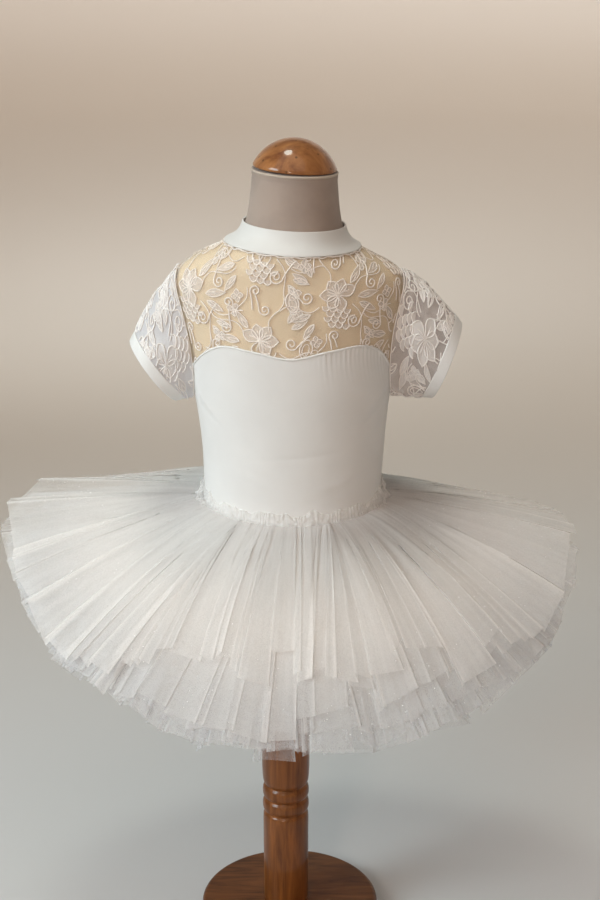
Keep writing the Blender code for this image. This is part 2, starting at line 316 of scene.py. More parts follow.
def grid_shape(across, along, place, flat=(1.0, 1.0), closed=False):
    """A grid laid by place(share across, share along), with its flat size as its UV map."""
    shape = bmesh.new()
    cut = shape.loops.layers.uv.new("flat")
    bmesh.ops.create_grid(shape, x_segments=across, y_segments=along, size=0.5, calc_uvs=True)
    for face in shape.faces:
        for loop in face.loops:
            spot = loop.vert.co
            loop[cut].uv = ((spot.x + 0.5) * flat[0], (spot.y + 0.5) * flat[1])
    for vertex in shape.verts:
        vertex.co = place(vertex.co.x + 0.5, vertex.co.y + 0.5)
    if closed:
        bmesh.ops.remove_doubles(shape, verts=shape.verts, dist=0.00002)
    return shape


def darker(colour, share):
    return tuple(share * part for part in colour)


def woven_cover(name, colour, dark):
    """A tight plain-woven cover with an uneven tone; dark is the tone of its dark patches."""
    material, shader = new_material(name)
    place = add_node(material, "TexCoord", "Object")
    cloudy = add_node(material, "TexNoise", "Fac", {"Vector": place, "Scale": 20.0, "Detail": 4.0})
    weave = add_node(material, "TexChecker", "Fac", {"Vector": place, "Scale": 1400.0})
    tone = two_tone(material, cloudy, darker(colour, dark), colour, 0.25, 0.65)
    set_inputs(shader, {"Base Color": tone, "Roughness": 0.85, "Sheen Weight": 0.2,
                        "Normal": relief(material, weave, 0.0002, 0.25)})
    return material


def cord_piece(name, runs, radius, material, sides=3, widths=None):
    """Round cords along runs of points, as one mesh; widths scale the radius at points."""
    line = bpy.data.curves.new(name, "CURVE")
    line.dimensions = "3D"
    line.bevel_depth = radius
    line.bevel_resolution = sides
    line.use_fill_caps = True
    for number, run in enumerate(runs):
        spline = line.splines.new("POLY")
        spline.points.add(len(run) - 1)
        for i, spot in enumerate(run):
            spline.points[i].co = (*spot, 1.0)
            if widths:
                spline.points[i].radius = widths[number][i]
    holder = add_object(name + "_line", line)
    graph = bpy.context.evaluated_depsgraph_get()
    mesh = bpy.data.meshes.new_from_object(holder.evaluated_get(graph))
    bpy.data.objects.remove(holder)
    shape = bmesh.new()
    shape.from_mesh(mesh)
    bmesh.ops.remove_doubles(shape, verts=shape.verts, dist=0.000005)
    return show_piece(name, shape, material, crisp=80)


def close_ends(shape):
    """Fill the open ends of a tube, and turn all its faces outwards."""
    ends = [edge for edge in shape.edges if edge.is_boundary]
    bmesh.ops.holes_fill(shape, edges=ends, sides=0)
    bmesh.ops.recalc_face_normals(shape, faces=shape.faces)


def torso_place(share, rise):
    low = SECTIONS[0][0]
    return body_surface(share * 2 * math.pi, low + (NECK_START - low) * rise)


cream = woven_cover("form_cover_cream", FORM_CREAM, 0.86)
taupe = woven_cover("form_cover_taupe", NECK_TAUPE, 0.72)
pale_hem = woven_cover("form_cover_hem", HEM_CREAM, 0.80)
shape = grid_shape(96, 72, torso_place, closed=True)
close_ends(shape)
show_piece("form_body", shape, cream, ["form_torso"])


def neck_place(share, rise):
    height = NECK_START + (SECTIONS[-1][0] - NECK_START) * rise
    hem = NECK_HEM_LIFT * smooth_step(0.90, 0.93, rise)
    return over_body(share * 2 * math.pi, height, NECK_COVER + hem)


shape = grid_shape(96, 40, neck_place, closed=True)
close_ends(shape)
show_piece("form_neck", shape, taupe)
rim = [over_body(2 * math.pi * i / 96, NECK_HEM_HEIGHT, 0.0004) for i in range(97)]
cord_piece("form_neck_hem", [rim], NECK_HEM_RADIUS, pale_hem)


# --------------------------------------------------------------------------- neck cap
# A turned dome of glossy orange-brown wood that closes the neck. Its edge shows small
# knocks in the varnish.
CAP_RADIUS = 0.0402
CAP_HEIGHT = 0.030
CAP_EDGE = 0.0034
CAP_LIP = (0.0016, 0.0012)
CAP_SWEEP = 26.0
CAP_GAP = 0.0002
CAP_LEAN = math.radians(1.0)
CAP_DARK = (0.150, 0.046, 0.017)
CAP_LIGHT = (0.500, 0.220, 0.075)

swell = CAP_RADIUS / math.cos(math.radians(CAP_SWEEP))
rise = (CAP_HEIGHT - CAP_EDGE) / (1 - math.sin(math.radians(CAP_SWEEP)))
outline = arc((0.0, CAP_HEIGHT - rise), (swell, rise), 90, CAP_SWEEP, 22)
outline += arc((CAP_RADIUS - CAP_LIP[0], CAP_EDGE - CAP_LIP[1]), CAP_LIP, 0, -90, 5)
outline += [(0.0, CAP_EDGE - 2 * CAP_LIP[1])]
shape = turned_shape(outline, 96)
bmesh.ops.rotate(shape, verts=shape.verts, cent=(0, 0, 0),
                 matrix=Matrix.Rotation(NECK_TILT + CAP_LEAN, 3, "Y"))
bmesh.ops.translate(shape, verts=shape.verts, vec=(SECTIONS[-1][3], 0, SECTIONS[-1][0] + CAP_GAP))
cap_wood = varnished_wood("varnished_cap", CAP_DARK, CAP_LIGHT, grain=(40, 60, 25),
                          roughness=0.32, varnish=0.7, knocks=0.6)
show_piece("wooden_neck_cap", shape, cap_wood, ["neck_cap"], crisp=60)


# ----------------------------------------------------------------------------- bodice
# Front and back of smooth white stretch jersey, close to the body. The front's top is a
# sweetheart edge; both panels meet at side seams and go under the gathered waist.
# The cloth lies CLEAR of the form, JERSEY more to its face, and is drawn SHELL thick.
CLEAR = 0.0013
JERSEY = 0.0012
SHELL = 0.0007
WAIST = 0.4985
WAIST_DIP = 0.008
BACK_NECKLINE = 0.634
# How far an edge goes under its neighbour, and the gathers below the sweetheart edge.
TUCK = 0.004
PUCKER = 0.0012
PUCKER_REACH = 0.010
NECKLINE = (
    # share of the way across the front, height
    (0.00, 0.634),
    (0.10, 0.652),
    (0.22, 0.6635),
    (0.36, 0.6605),
    (0.50, 0.6547),
    (0.64, 0.6605),
    (0.80, 0.6635),
    (0.92, 0.653),
    (1.00, 0.632),
)
ARMHOLE_HEIGHT = 0.6625
ARMHOLE_HALF_HEIGHT = 0.0635
ARMHOLE_HALF_DEPTH = 0.028
FRONT_FLAT = (0.275, 0.173)
BACK_FLAT = (0.275, 0.130)
CREASES = (
    # angle round the body (degrees), height, half spread (degrees), half width, lift, slant
    (-84, 0.556, 34, 0.0026, -0.00042, 0.010),
    (-60, 0.527, 24, 0.0050, 0.0006, 0.020),
    (-118, 0.533, 20, 0.0050, 0.0005, -0.018),
    (-28, 0.611, 16, 0.0042, 0.0008, 0.030),
    (-36, 0.590, 15, 0.0040, -0.0006, 0.026),
    (-152, 0.604, 14, 0.0042, 0.0007, -0.028),
    (-146, 0.588, 14, 0.0036, -0.0005, -0.024),
    (92, 0.561, 40, 0.0036, -0.0006, -0.003),
    (64, 0.592, 22, 0.0045, 0.0006, -0.020),
    (124, 0.540, 24, 0.0045, 0.0005, 0.018),
    (32, 0.606, 15, 0.0042, 0.0008, -0.028),
    (150, 0.602, 15, 0.0042, 0.0007, 0.030),
)


def front_share(turn):
    """1 in front of the wearer, 0 at the sides and -1 behind."""
    return -math.sin(turn)


def waist_height(turn):
    return WAIST - WAIST_DIP * front_share(turn)


def armhole_depth(height):
    """How far the armhole opens from the side line at a height."""
    rise = (height - ARMHOLE_HEIGHT) / ARMHOLE_HALF_HEIGHT
    return ARMHOLE_HALF_DEPTH * math.cos(min(abs(rise), 1.0) * math.pi / 2)


def panel_turn(share, height, front):
    """The angle at a share of the way across a front or back panel, edge to edge."""
    deep = along_table(SECTIONS, height, 2) + CLEAR
    edge = math.asin(armhole_depth(height) / deep)
    first_edge = math.pi if front else 0.0
    return first_edge + edge + share * (math.pi - 2 * edge)


def crease_lift(turn, height):
    """The sum of the soft troughs and ridges of the bodice at a place."""
    lift = 0.0
    for angle, middle, spread, width, rise, slant in CREASES:
        away = (turn - math.radians(angle) + math.pi) % (2 * math.pi) - math.pi
        along = away / math.radians(spread)
        if abs(along) < 1.6:
            off = (height - middle - slant * along * 0.5) / width
            lift += rise * math.exp(-off * off - along * along * 1.4)
    return lift


def edge_pucker(share, height, top):
    """The small gathers that the edge's stitching pulls in the jersey below it."""
    below = top - height
    near = math.exp(-below / PUCKER_REACH) * smooth_step(0.54, 0.66, share)
    return PUCKER * near * math.sin(share * 300) * (0.6 + 0.4 * math.sin(share * 71))


def bodice_place(front):
    def place(share, rise):
        low = waist_height(panel_turn(share, WAIST, front)) - TUCK
        high = along_table(NECKLINE, share, 1) if front else BACK_NECKLINE
        height = low + (high - low) * rise
        turn = panel_turn(share, height, front)
        lift = crease_lift(turn, height)
        if front:
            lift += edge_pucker(share, height, high)
        return over_body(turn, height, CLEAR + JERSEY + lift)
    return place


def jersey_cloth(name, colour):
    """Smooth stretch jersey: fine upright wales, a soft sheen and a faint cloudiness."""
    material, shader = new_material(name)
    place = add_node(material, "TexCoord", "UV")
    cloudy = add_node(material, "TexNoise", "Fac", {"Vector": place, "Scale": 22.0, "Detail": 5.0})
    wales = add_node(material, "TexWave", "Fac",
                     {"Vector": place, "Scale": 380.0, "Distortion": 0.6, "Detail": 2.0})
    tone = two_tone(material, cloudy, darker(colour, 0.95), colour)
    set_inputs(shader, {"Base Color": tone, "Roughness": 0.62, "Sheen Weight": 0.25,
                        "Sheen Roughness": 0.4, "Normal": relief(material, wales, 0.0001, 0.2)})
    return material


def solidify(shape, thickness):
    bmesh.ops.solidify(shape, geom=shape.faces[:], thickness=thickness)


white_jersey = jersey_cloth("white_jersey", (0.84, 0.84, 0.83))
for name, front in (("bodice_front", True), ("bodice_back", False)):
    cut = FRONT_FLAT if front else BACK_FLAT
    shape = grid_shape(150, 84, bodice_place(front), cut)
    solidify(shape, SHELL)
    panel = show_piece(name + "_panel", shape, white_jersey, [name], crisp=70)


# The sweetheart edge is a narrow turned roll of the same jersey, stitched just below.
ROLL_RADIUS = 0.0011
ROLL_STEPS = 160

roll = []
for i in range(ROLL_STEPS + 1):
    share = i / ROLL_STEPS
    height = along_table(NECKLINE, share, 1)
    roll.append(over_body(panel_turn(share, height, True), height, CLEAR + JERSEY - 0.0001))
widths = [[1 + 0.10 * math.sin(i * 1.9) * smooth_step(0.5, 0.7, i / ROLL_STEPS)
           for i in range(ROLL_STEPS + 1)]]
cord_piece("sweetheart_edge", [roll], ROLL_RADIUS, white_jersey, widths=widths)


# ------------------------------------------------------------------------------- yoke
# A sheer yoke of floral lace from the sweetheart edge to the collar and over the
# shoulders: a fine net ground, with motifs of close stitching outlined by a heavy cord.
COLLAR_BOTTOM = 0.7500
UNDER_COLLAR = 0.003
YOKE_FRONT_FLAT = (0.250, 0.125)
YOKE_BACK_FLAT = (0.250, 0.150)
# The net lies NET_LIFT past CLEAR. The cords' middle lies CORD_LIFT off the form, and a
# motif's rim and middle lie a little under and over it.
NET_LIFT = 0.0004
CORD_LIFT = 0.0014
CORD_RADIUS = 0.00075
MOTIF_SINK = 0.0002
MOTIF_SWELL = 0.0004
# The sprigs' pitch across and up, how far their rows go, and the place of the first.
SPRIG_PITCH = (0.074, 0.084)
YOKE_REACH = ((-0.16, 0.16), (-0.09, 0.05))
YOKE_SPRIG = (0.046, 0.712)
CURL_BEND = 12.0
RING_STEP = 0.0025


def more_cover(material, filled, extra):
    """Add to how much of a net its threads fill, from none of it up to all."""
    return add_node(material, "Math", "Value", {0: filled, 1: extra},
                    operation="ADD", use_clamp=True)


def net_cloth(name, colour, cover, cell, through, streak=0.0, fold=0.0, sheen=0.0, hem=None):
    """A sheer net of fine threads; cover is how much of it the threads fill, and hem is
    the painted shade that it turns to, a darker colour, with the lengths along the cloth from and
    to."""
    material, threads = new_material(name)
    set_inputs(threads, {"Base Color": (*colour, 1.0), "Roughness": 0.65, "Sheen Weight": sheen})
    glow = add_node(material, "BsdfTranslucent", "BSDF", {"Color": (*colour, 1.0)})
    place = add_node(material, "TexCoord", "UV")
    if hem:
        along = add_node(material, "SeparateXYZ", "Y", {"Vector": place})
        painted_hem_shade = two_tone(material, along, colour, *hem)
        set_inputs(threads, {"Base Color": painted_hem_shade})
        set_inputs(glow.node, {"Color": painted_hem_shade})
    cells = add_node(material, "TexVoronoi", "Distance",
                     {"Vector": place, "Scale": 1 / cell, "Randomness": 0.7},
                     feature="DISTANCE_TO_EDGE")
    filled = add_node(material, "MapRange", "Result",
                      {"Value": cells, "From Min": 0.02, "From Max": 0.30,
                       "To Min": cover + 0.08, "To Max": cover - 0.04})
    if streak:
        stretch = add_node(material, "Mapping", "Vector",
                           {"Vector": place, "Scale": (48.0, 2.0, 1.0)})
        lines = add_node(material, "TexNoise", "Fac",
                         {"Vector": stretch, "Scale": 1.0, "Detail": 4.0, "Roughness": 0.6})
        gain = add_node(material, "MapRange", "Result",
                        {"Value": lines, "From Min": 0.3, "From Max": 0.7,
                         "To Min": -streak, "To Max": streak})
        filled = more_cover(material, filled, gain)
    if fold:
        crease = add_node(material, "Attribute", "Fac", attribute_name="fold")
        more = add_node(material, "Math", "Value", {0: crease, 1: fold}, operation="MULTIPLY")
        filled = more_cover(material, filled, more)
    lit = add_node(material, "MixShader", "Shader",
                   {"Fac": through, 1: threads.outputs["BSDF"], 2: glow})
    gap = add_node(material, "BsdfTransparent", "BSDF")
    veil = add_node(material, "MixShader", "Shader", {"Fac": filled, 1: gap, 2: lit})
    set_inputs(material.node_tree.nodes["Material Output"], {"Surface": veil})
    return material


def stitched_lace(name, colour):
    """The close satin stitching and cords of a lace motif."""
    material, shader = new_material(name)
    place = add_node(material, "TexCoord", "Object")
    yarn = add_node(material, "TexNoise", "Fac", {"Vector": place, "Scale": 900.0, "Detail": 2.0})
    tone = two_tone(material, yarn, darker(colour, 0.90), colour)
    set_inputs(shader, {"Base Color": tone, "Roughness": 0.7, "Sheen Weight": 0.2,
                        "Normal": relief(material, yarn, 0.0003, 0.4)})
    return material


def ring_lengths(height):
    """Lengths along a level section of the form from its middle front, by angle."""
    steps = 48
    lengths = [0.0]
    last = body_surface(-math.pi / 2, height)
    for i in range(1, steps + 1):
        spot = body_surface(-math.pi / 2 + math.pi * i / steps, height)
        lengths.append(lengths[-1] + (spot - last).length)
        last = spot
    return lengths


RING_LEVELS = [0.60 + RING_STEP * i for i in range(65)]
RINGS = [ring_lengths(height) for height in RING_LEVELS]


def turn_at(across, height):
    """The angle from the middle front of a point that lies so far along its section."""
    level = min(max((height - RING_LEVELS[0]) / RING_STEP, 0), len(RINGS) - 1.001)
    low, part = int(level), level % 1
    lengths = [a + (b - a) * part for a, b in zip(RINGS[low], RINGS[low + 1])]
    reach = min(abs(across), lengths[-1] * 0.999)
    step = next(i for i in range(len(lengths) - 1) if lengths[i + 1] >= reach)
    part = (reach - lengths[step]) / (lengths[step + 1] - lengths[step])
    turn = math.pi * (step + part) / (len(lengths) - 1)
    return math.copysign(turn, across)


def yoke_spot(front):
    """A map from the flat lace to the yoke, or None past the yoke's edges."""
    def spot(across, height, lift):
        if abs(across) > 0.15 or not 0.62 < height < COLLAR_BOTTOM + 0.002:
            return None
        middle = -math.pi / 2 if front else math.pi / 2
        side = 1 if front else -1
        turn = middle + side * turn_at(across, height)
        deep = along_table(SECTIONS, height, 2) + CLEAR
        edge = math.asin(armhole_depth(height) / deep)
        if abs(turn - middle) > math.pi / 2 - edge:
            return None
        share = (turn - middle) / (math.pi - 2 * edge) + 0.5
        low = along_table(NECKLINE, share, 1) if front else BACK_NECKLINE
        if height < low + 0.0005:
            return None
        return over_body(turn, height, lift)
    return spot


def petal(length, width, count=14, tip=0.8):
    """A pointed-oval outline from its root at the origin along +X."""
    points = []
    for i in range(count + 1):
        t = i / count * 2
        side = 1 if t <= 1 else -1
        along = t if t <= 1 else 2 - t
        swell = math.sin(math.pi * along ** tip)
        points.append((length * along, side * width / 2 * swell))
    return points


def oval(width, height, count=16, start=0.0, end=360.0):
    points = []
    for i in range(count + 1):
        angle = math.radians(start + (end - start) * i / count)
        points.append((width / 2 * math.cos(angle), height / 2 * math.sin(angle)))
    return points


def curl(radius, turns, tail):
    """A spiral that winds out from its middle and ends in a bent tail."""
    points = []
    count = int(turns * 14)
    for i in range(count + 1):
        t = i / count
        angle = t * turns * 2 * math.pi
        reach = radius * (0.16 + 0.84 * t)
        points.append((reach * math.cos(angle), reach * math.sin(angle)))
    last, before = Vector(points[-1]), Vector(points[-2])
    way = (last - before).normalized()
    across = Vector((way.y, -way.x))
    for i in range(1, 8):
        t = i / 7 * tail
        points.append(tuple(last + way * t + across * t * t * CURL_BEND))
    return points


def tendril(length, swing, waves, count=20):
    return [(length * i / count, swing * math.sin(waves * 2 * math.pi * i / count))
            for i in range(count + 1)]


def laid(points, x, y, degrees, mirror=False):
    """Turn and move an outline to its place."""
    angle = math.radians(degrees)
    result = []
    for across, up in points:
        up = -up if mirror else up
        result.append((x + across * math.cos(angle) - up * math.sin(angle),
                       y + across * math.sin(angle) + up * math.cos(angle)))
    return result


LEAVES = (
    # place (mm) x, y, direction (degrees), length, width (mm)
    (17, 3, 18, 19, 6.0),
    (19, -2, -16, 17, 5.4),
    (8, 13, 62, 17, 5.6),
    (-20, -17, -150, 16, 5.0),
    (-16, -24, -118, 15, 4.8),
    (27, -21, -40, 15, 4.8),
    (30, -16, -6, 14, 4.6),
    (-27, 8, 160, 15, 5.0),
    (-25, 13, 128, 14, 4.6),
)
CURLS = (
    # place (mm) x, y, direction (degrees), radius (mm), turns, tail (mm), mirrored
    (16, -17, 150, 6.0, 1.6, 15, False),
    (-25, -4, 30, 5.4, 1.5, 13, True),
    (27, 15, -60, 5.0, 1.4, 12, True),
    (-8, 26, 200, 4.8, 1.5, 14, False),
    (2, -31, 80, 4.6, 1.4, 12, False),
    (38, 2, 100, 4.2, 1.3, 10, True),
)
STEMS = (
    # place (mm) x, y, direction (degrees), length, swing (mm), waves
    (13, -4, -58, 34, 3.6, 0.8),
    (-9, 8, 118, 30, -3.2, 0.9),
    (-14, -10, -165, 32, 3.4, 1.0),
    (12, 9, 40, 33, 3.8, 0.9),
    (26, -8, 8, 26, -2.8, 0.8),
    (-5, -30, -100, 22, 2.4, 0.8),
)
BUDS = (
    # place (mm) x, y, petals, petal length (mm)
    (33, -27, 3, 6.2),
    (-33, 20, 4, 5.6),
    (18, 29, 3, 5.8),
    (-12, -38, 4, 5.2),
)
SPRIG_SIZE = 1.16
SPRIG_TILTS = (-10, 8)
CORD = 1.0
FINE_CORD = 0.74


def sprig():
    """One lace sprig laid flat: its filled shapes, and its cords with their widths."""
    mm = 0.001 * SPRIG_SIZE
    filled, cords = [], []
    for number in range(6):
        size = (15.5, 13.5, 14.5)[number % 3] * mm
        angle = 34 + 52 * number
        leaf = laid(petal(size, 9.8 * mm, 16, 1.15), 0.0, 2 * mm, angle)
        filled.append(leaf)
        cords.append((leaf, CORD))
        vein = tendril(size * 0.62, 0.5 * mm, 0.5, 6)
        cords.append((laid(vein, 0.0, 2 * mm, angle), FINE_CORD))
    for row in range(4):
        for place in range(4 - row // 2):
            x = -8.5 + 5.9 * place + (2.9 if row % 2 else 0.0) + 1.4 * row
            y = -8.5 - 4.1 * row
            scale = laid(oval(6.2 * mm, 7.6 * mm, 8, 180, 360), x * mm, y * mm, 6)
            filled.append(scale + scale[:1])
            cords.append((scale, CORD))
    for x, y, degrees, length, width in LEAVES:
        leaf = laid(petal(length * mm, width * mm), x * mm, y * mm, degrees)
        inner = laid(petal(length * 0.6 * mm, width * 0.42 * mm, 10), x * mm, y * mm, degrees)
        filled.append(leaf)
        cords += [(leaf, FINE_CORD), (inner, FINE_CORD * 0.8)]
    for x, y, degrees, radius, turns, tail, mirrored in CURLS:
        line = curl(radius * mm, turns, tail * mm)
        cords.append((laid(line, x * mm, y * mm, degrees, mirrored), CORD))
    for x, y, degrees, length, swing, waves in STEMS:
        line = tendril(length * mm, swing * mm, waves)
        cords.append((laid(line, x * mm, y * mm, degrees), FINE_CORD))
    for x, y, petals, length in BUDS:
        for number in range(petals):
            leaf = petal(length * mm, length * 0.8 * mm, 10, 1.1)
            leaf = laid(leaf, x * mm, y * mm, 20 + 360 / petals * number)
            filled.append(leaf)
            cords.append((leaf, FINE_CORD))
    loop = laid(oval(10.0 * mm, 16.0 * mm), -36 * mm, -10 * mm, 24)
    filled.append(loop)
    cords.append((loop, CORD))
    cords.append((laid(oval(5.6 * mm, 10.4 * mm, 12), -35.5 * mm, -10.5 * mm, 24), FINE_CORD))
    return filled, cords


def lay_lace(name, spot, reach, start, spacing, material, fill_material):
    """Lay sprigs in half-drop rows over a panel, cut off at its edges."""
    filled, cords = sprig()
    shape = bmesh.new()
    runs, widths = [], []
    pitch, rise = spacing
    across, up = reach
    for column in range(math.floor(across[0] / pitch), math.ceil(across[1] / pitch) + 1):
        for row in range(math.floor(up[0] / rise), math.ceil(up[1] / rise) + 2):
            x = start[0] + column * pitch
            y = start[1] + row * rise - (rise / 2 if column % 2 else 0.0)
            flip = (column + row) % 2 == 1

            def to_panel(points):
                points = [(-a, b) for a, b in points] if flip else points
                return laid(points, x, y, SPRIG_TILTS[flip])
            for outline, width in cords:
                spots = [spot(a, b, CORD_LIFT) for a, b in to_panel(outline)]
                run = []
                for found in spots + [None]:
                    if found is not None:
                        run.append(found)
                        continue
                    if len(run) > 2:
                        runs.append(run)
                        widths.append([width] * len(run))
                    run = []
            for outline in filled:
                patch = to_panel(outline)[:-1]
                middle = [sum(column) / len(patch) for column in zip(*patch)]
                rim = [spot(a, b, CORD_LIFT - MOTIF_SINK) for a, b in patch]
                top = spot(*middle, CORD_LIFT + MOTIF_SWELL)
                if top is None or None in rim:
                    continue
                corners = [shape.verts.new(place) for place in rim]
                centre = shape.verts.new(top)
                for first, second in zip(corners, corners[1:] + corners[:1]):
                    shape.faces.new((first, second, centre))
    bmesh.ops.recalc_face_normals(shape, faces=shape.faces)
    fill = show_piece(name + "_motifs", shape, fill_material, crisp=80)
    lines = cord_piece(name + "_cords", runs, CORD_RADIUS, material, 1, widths)
    return fill, lines


def yoke_place(front):
    def place(share, rise):
        low = along_table(NECKLINE, share, 1) if front else BACK_NECKLINE
        low -= TUCK
        height = low + (COLLAR_BOTTOM + UNDER_COLLAR - low) * rise
        return over_body(panel_turn(share, height, front), height, CLEAR + NET_LIFT)
    return place


lace_net = net_cloth("lace_net", (0.90, 0.85, 0.79), cover=0.20, cell=0.0011, through=0.3)
lace_fill = net_cloth("lace_fill", (0.98, 0.92, 0.87), cover=0.62, cell=0.0009, through=0.3)
lace_stitches = stitched_lace("lace_stitches", (0.93, 0.86, 0.80))
for name, front in (("yoke_front", True), ("yoke_back", False)):
    cut = YOKE_FRONT_FLAT if front else YOKE_BACK_FLAT
    shape = grid_shape(90, 48, yoke_place(front), cut)
    net = show_piece(name + "_net", shape, lace_net, [name])
    parts = lay_lace(name, yoke_spot(front), YOKE_REACH, YOKE_SPRIG, SPRIG_PITCH,
                     lace_stitches, lace_fill)


# ----------------------------------------------------------------------------- collar
# A low stand-up band of doubled jersey, folded at its top, that flares over the base of
# the neck and is sewn to the lace below.
COLLAR_TOP = 0.7710
COLLAR_FLAT = (0.36, 0.026)
COLLAR_WALL = 0.0017
COLLAR_TUCK = 0.001
COLLAR_FLARE = 0.0006
COLLAR_SEAT = 0.0009


def collar_place(share, rise):
    height = COLLAR_BOTTOM - COLLAR_TUCK + (COLLAR_TOP - COLLAR_BOTTOM + COLLAR_TUCK) * rise
    ease = COLLAR_FLARE * rise + COLLAR_SEAT * (1 - smooth_step(0.0, 0.3, rise))
    turn = share * 2 * math.pi
    ripple = 0.00025 * math.sin(5 * turn + 1.0) * (1 - rise)
    return over_body(turn, height, CLEAR + COLLAR_WALL + ease + ripple)


def soft_edges(piece, width):
    """Round the turned edges of a thick band."""
    bevel = piece.modifiers.new("soft_edges", "BEVEL")
    bevel.width = width
    bevel.segments = 3
    bevel.limit_method = "ANGLE"


# The collar is the bodice's white jersey painted greyer and darker: painted shade for the soft
# shadow that falls on it.
collar_jersey_shaded = jersey_cloth("collar_jersey_shaded", (0.77, 0.765, 0.75))
shape = grid_shape(144, 14, collar_place, COLLAR_FLAT, closed=True)
solidify(shape, COLLAR_WALL)
collar = show_piece("collar_band", shape, collar_jersey_shaded, ["collar"], crisp=100)
soft_edges(collar, 0.0006)
seam = []
for i in range(193):
    turn = 2 * math.pi * i / 192
    wobble = 0.0004 * math.sin(23 * turn) + 0.0003 * math.sin(41 * turn + 1)
    seam.append(over_body(turn, COLLAR_BOTTOM - 0.0016 + wobble, CLEAR + 0.0012))
cord_piece("collar_seam", [seam], 0.0007, lace_stitches, 2)


# ------------------------------------------------------------------- sleeves and cuffs
# Short cap sleeves of the same lace, set into the armholes and standing away from the
# body, each ending in a folded band of jersey.
SLEEVE_SEAT = 0.0038
SLEEVE_TUCK = 0.002
CUFF_WIDTH = 0.011
CUFF_WALL = 0.0014
CUFF_LIFT = 0.0012
SLEEVES = (
    # name, side, mouth centre x, mouth centre z, mouth half height, lean, puff
    ("left", -1, -0.1334, 0.6238, 0.0368, math.radians(37), 0.002),
    ("right", 1, 0.1557, 0.6338, 0.0391, math.radians(21), 0.005),
)
MOUTH_HALF_DEPTH = 0.031
SLEEVE_GIRTH = 0.225
SLEEVE_FLAT = (SLEEVE_GIRTH, 0.062)
CUFF_FLAT = (0.215, 0.012)
SLEEVE_REACH = ((-0.12, 0.12), (-0.03, 0.08))
SLEEVE_PITCH = (0.060, 0.068)
SLEEVE_SPRIG = {"left": (-0.058, 0.030), "right": (-0.046, 0.031)}
# The two sleeves are the same lace: the left net's paler colour and fuller cover are painted light,
# and the right net's darker mauve-grey colour and thinner cover are painted shade.
SLEEVE_COVER_LIGHT_AND_SHADE = {"left": 0.96, "right": 0.50}
SLEEVE_NET_LIGHT_AND_SHADE = {"left": (0.82, 0.82, 0.85), "right": (0.72, 0.67, 0.67)}


def sleeve_point(sleeve, turn, way, lift=0.0):
    """A point of a sleeve, from its armhole (way 0) to its open mouth (way 1)."""
    _, side, centre_x, centre_z, half_height, lean, puff = sleeve
    height = ARMHOLE_HEIGHT + ARMHOLE_HALF_HEIGHT * math.cos(turn)
    deep = ARMHOLE_HALF_DEPTH * math.sin(turn)
    body_turn = math.asin(deep / (along_table(SECTIONS, height, 2) + CLEAR))
    body_turn = body_turn if side > 0 else math.pi - body_turn
    seat = over_body(body_turn, height, SLEEVE_SEAT)
    up_way = Vector((side * math.sin(lean), 0.0, math.cos(lean)))
    spread = up_way * math.cos(turn) * half_height
    spread += Vector((0.0, MOUTH_HALF_DEPTH * math.sin(turn), 0.0))
    mouth = Vector((centre_x, 0.0, centre_z)) + spread
    swell = 4 * way * (1 - way) * puff * max(math.cos(turn), 0.0)
    return seat.lerp(mouth, way) + spread.normalized() * (swell + lift)


def above_mouth(sleeve, turn, width):
    """The share of the way along the sleeve that lies a width above its mouth."""
    reach = (sleeve_point(sleeve, turn, 1.0) - sleeve_point(sleeve, turn, 0.0)).length
    return 1 - width / reach


def sleeve_folds(side, turn, way):
    """The soft folds of a sleeve: one along the armhole, and slanting ones below it."""
    front = math.cos(turn + side * math.pi / 2)
    fold = -0.0016 * math.exp(-((way - 0.26) / 0.06) ** 2)
    fold += 0.0012 * math.exp(-((way - 0.40) / 0.08) ** 2)
    slant = 0.0014 * math.sin(5 * turn * side + 4 * way + side)
    slant += 0.0009 * math.sin(9 * turn - 5 * way + 2 * side)
    return (fold * (0.6 + 0.4 * front) + slant) * 4 * way * (1 - way)


